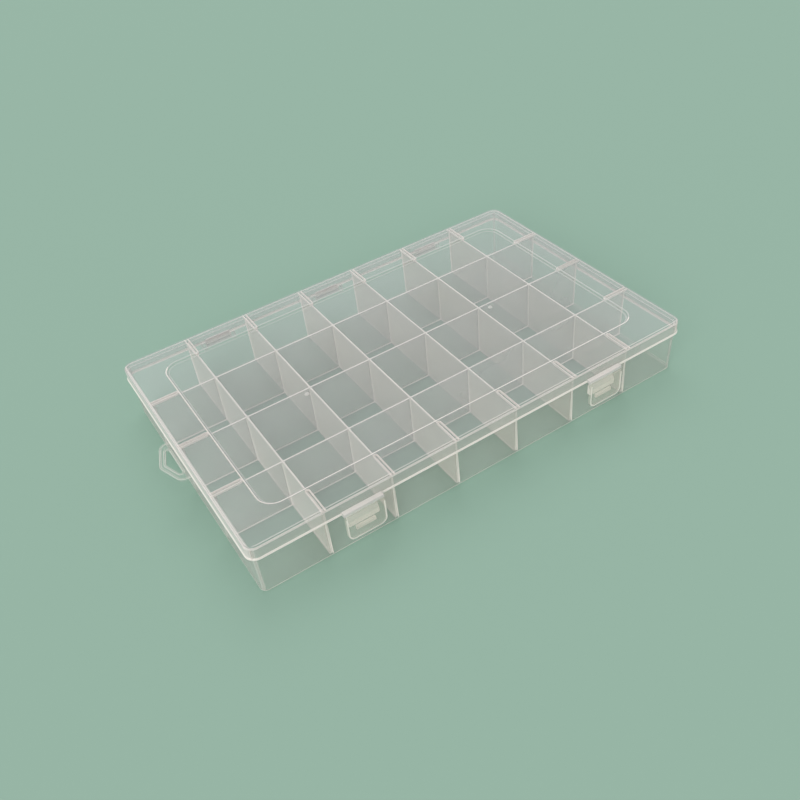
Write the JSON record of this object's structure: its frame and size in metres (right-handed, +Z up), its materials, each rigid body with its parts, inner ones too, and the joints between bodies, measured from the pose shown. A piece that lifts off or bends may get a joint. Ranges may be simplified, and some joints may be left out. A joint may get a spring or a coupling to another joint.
{
  "type": "compartment box",
  "caption": "Flat clear plastic compartment box for craft parts, with fixed dividers, a hinged lid, snap latches on the front and a hanging loop on one end.",
  "frame": {"origin": "centre of the tray's flat underside", "axes": "+X along the length, away from the hanging loop; -Y is the front, with the latches; +Z up through the lid"},
  "size_m": [0.361, 0.2264, 0.0445],
  "materials": {
    "tray_plastic": "frosted clear polypropylene, smooth moulded faces",
    "lid_plastic": "frosted clear polypropylene, smooth moulded faces",
    "latch_plastic": "frosted clear polypropylene, smooth moulded faces"
  },
  "bodies": {
    "tray": {"tray_floor": "tray_plastic", "hanging_loop": "tray_plastic", "tray_front_wall": "tray_plastic", "tray_back_wall": "tray_plastic", "tray_left_wall": "tray_plastic", "tray_right_wall": "tray_plastic", "cross_divider_1": "tray_plastic", "cross_divider_2": "tray_plastic", "cross_divider_3": "tray_plastic", "cross_divider_4": "tray_plastic", "cross_divider_5": "tray_plastic", "cross_divider_6": "tray_plastic", "long_divider_1": "tray_plastic", "long_divider_2": "tray_plastic", "long_divider_3": "tray_plastic", "hinge_lugs_left": "tray_plastic", "hinge_pin_left": "tray_plastic", "hinge_lugs_middle": "tray_plastic", "hinge_pin_middle": "tray_plastic", "hinge_lugs_right": "tray_plastic", "hinge_pin_right": "tray_plastic", "latch_catch_left": "tray_plastic", "latch_catch_right": "tray_plastic"},
    "lid": {"lid_top": "lid_plastic", "lid_front_skirt": "lid_plastic", "lid_back_skirt": "lid_plastic", "lid_left_skirt": "lid_plastic", "lid_right_skirt": "lid_plastic", "lid_front_ribs": "lid_plastic", "lid_back_ribs": "lid_plastic", "lid_left_ribs": "lid_plastic", "lid_right_ribs": "lid_plastic", "hinge_clip_left": "lid_plastic", "hinge_clip_middle": "lid_plastic", "hinge_clip_right": "lid_plastic", "latch_flange_left": "lid_plastic", "latch_flange_right": "lid_plastic"},
    "latch_left": {"latch_flap_left": "latch_plastic", "latch_hook_left": "latch_plastic"},
    "latch_right": {"latch_flap_right": "latch_plastic", "latch_hook_right": "latch_plastic"}
  },
  "joints": [
    {"name": "lid_hinge", "type": "hinge", "parent": "tray", "child": "lid", "pos_m": [0, 0.11025, 0.0303], "axis": [-1, 0, 0], "range_deg": [0, 180]},
    {"name": "latch_left_hinge", "type": "hinge", "parent": "lid", "child": "latch_left", "pos_m": [-0.09757, -0.112, 0.03305], "axis": [-1, 0, 0], "range_deg": [0, 115]},
    {"name": "latch_right_hinge", "type": "hinge", "parent": "lid", "child": "latch_right", "pos_m": [0.09757, -0.112, 0.03305], "axis": [-1, 0, 0], "range_deg": [0, 115]}
  ]
}
